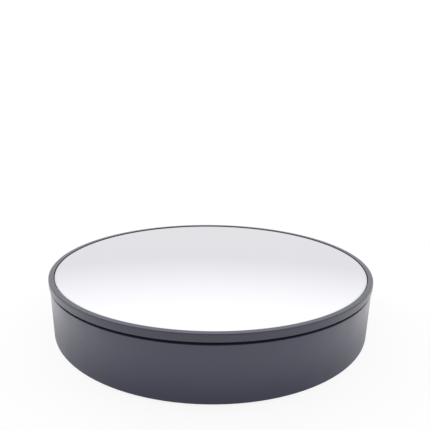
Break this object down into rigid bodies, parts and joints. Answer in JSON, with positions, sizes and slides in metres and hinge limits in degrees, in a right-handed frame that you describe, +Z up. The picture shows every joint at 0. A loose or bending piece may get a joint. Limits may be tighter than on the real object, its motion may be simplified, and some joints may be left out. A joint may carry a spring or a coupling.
{
  "type": "rotating display stand",
  "caption": "Round motor-driven turntable for showing small goods: a low dark drum carries a turning rim and plate with a round mirror top, fed from cells or a rear power inlet.",
  "frame": {"origin": "on the turning axis, at the bottom of the feet", "axes": "+Z up along the turning axis; the plain front faces -Y and the switch and power inlet face +Y"},
  "size_m": [0.2, 0.2, 0.0353],
  "materials": {
    "base_plastic": "fine satin moulded, dark grey with a slight violet cast",
    "platter_plastic": "satin moulded, dark grey, smoother than the base",
    "mirror_glass": "silvered glass disc",
    "foam_tape": "white double-sided foam tape",
    "gear_plastic": "natural white acetal, satin",
    "roller_plastic": "white nylon",
    "steel": "bright zinc-plated or ground steel",
    "bearing_brass": "turned brass",
    "foot_rubber": "black rubber",
    "switch_plastic": "black, half gloss",
    "contact_metal": "nickel-plated strip",
    "wire_insulation": "soft insulation, red, with black on the second lead of each pair",
    "board_laminate": "green solder mask over glass laminate",
    "component_plastic": "black moulded component bodies",
    "gearbox_plastic": "black satin moulded",
    "motor_steel": "plated steel can"
  },
  "bodies": {
    "base": {"base_housing": "base_plastic", "spindle_bush": "bearing_brass", "roller_pins": "steel", "bottom_cover": "base_plastic", "cover_screws": "steel", "rubber_feet": "foot_rubber", "contact_plates": "contact_metal", "contact_springs": "contact_metal", "battery_leads": "wire_insulation", "switch_body": "switch_plastic", "switch_lugs": "contact_metal", "switch_leads": "wire_insulation", "dc_jack": "switch_plastic", "jack_pin": "contact_metal", "control_board": "board_laminate", "board_parts": "component_plastic", "board_screws": "steel", "gearbox_case": "gearbox_plastic", "gearbox_lid": "gearbox_plastic", "gearbox_screws": "steel", "gear_pin": "steel", "output_bush": "bearing_brass", "motor_can": "motor_steel", "motor_terminals": "contact_metal", "motor_screws": "steel", "motor_leads": "wire_insulation"},
    "platter": {"platter": "platter_plastic", "mirror": "mirror_glass", "mirror_tape": "foam_tape", "platter_gear": "gear_plastic", "spindle": "steel"},
    "output": {"output_gear": "gear_plastic", "output_shaft": "steel", "drive_pinion": "gear_plastic"},
    "first_reduction": {"first_gear": "gear_plastic"},
    "rotor": {"motor_shaft": "steel", "motor_pinion": "bearing_brass"},
    "support_roller_1": {"roller_1": "roller_plastic"},
    "support_roller_2": {"roller_2": "roller_plastic"},
    "support_roller_3": {"roller_3": "roller_plastic"},
    "power_rocker": {"switch_rocker": "switch_plastic"},
    "door": {"battery_door": "base_plastic"}
  },
  "joints": [
    {"name": "platter_spin", "type": "hinge", "parent": "base", "child": "platter", "pos_m": [0, 0, 0.0294], "axis": [0, 0, 1], "continuous": true},
    {"name": "output_spin", "type": "hinge", "parent": "base", "child": "output", "pos_m": [0.03, 0, 0.0235], "axis": [0, 0, 1], "continuous": true},
    {"name": "first_gear_spin", "type": "hinge", "parent": "base", "child": "first_reduction", "pos_m": [0.03983, 0.00688, 0.018], "axis": [0, 0, 1], "continuous": true},
    {"name": "rotor_spin", "type": "hinge", "parent": "base", "child": "rotor", "pos_m": [0.04966, 0, 0.016], "axis": [0, 0, 1], "continuous": true},
    {"name": "roller_1_spin", "type": "hinge", "parent": "base", "child": "support_roller_1", "pos_m": [0, 0.08, 0.0261], "axis": [0, 1, 0], "continuous": true},
    {"name": "roller_2_spin", "type": "hinge", "parent": "base", "child": "support_roller_2", "pos_m": [-0.06928, -0.04, 0.0261], "axis": [-0.866, -0.5, 0], "continuous": true},
    {"name": "roller_3_spin", "type": "hinge", "parent": "base", "child": "support_roller_3", "pos_m": [0.06928, -0.04, 0.0261], "axis": [0.866, -0.5, 0], "continuous": true},
    {"name": "rocker_tilt", "type": "hinge", "parent": "base", "child": "power_rocker", "pos_m": [-0.02, 0.092, 0.0125], "axis": [0, 0, 1], "range_deg": [0, 18]},
    {"name": "door_hinge", "type": "hinge", "parent": "base", "child": "door", "pos_m": [-0.0141, 0, 0.001], "axis": [0, -1, 0], "range_deg": [0, 75]}
  ],
  "couplings": [
    {"joint": "output_spin", "follows": "platter_spin", "ratio": -5},
    {"joint": "first_gear_spin", "follows": "platter_spin", "ratio": 20},
    {"joint": "rotor_spin", "follows": "platter_spin", "ratio": -80},
    {"joint": "roller_1_spin", "follows": "platter_spin", "ratio": -26.667},
    {"joint": "roller_2_spin", "follows": "platter_spin", "ratio": -26.667},
    {"joint": "roller_3_spin", "follows": "platter_spin", "ratio": -26.667}
  ]
}
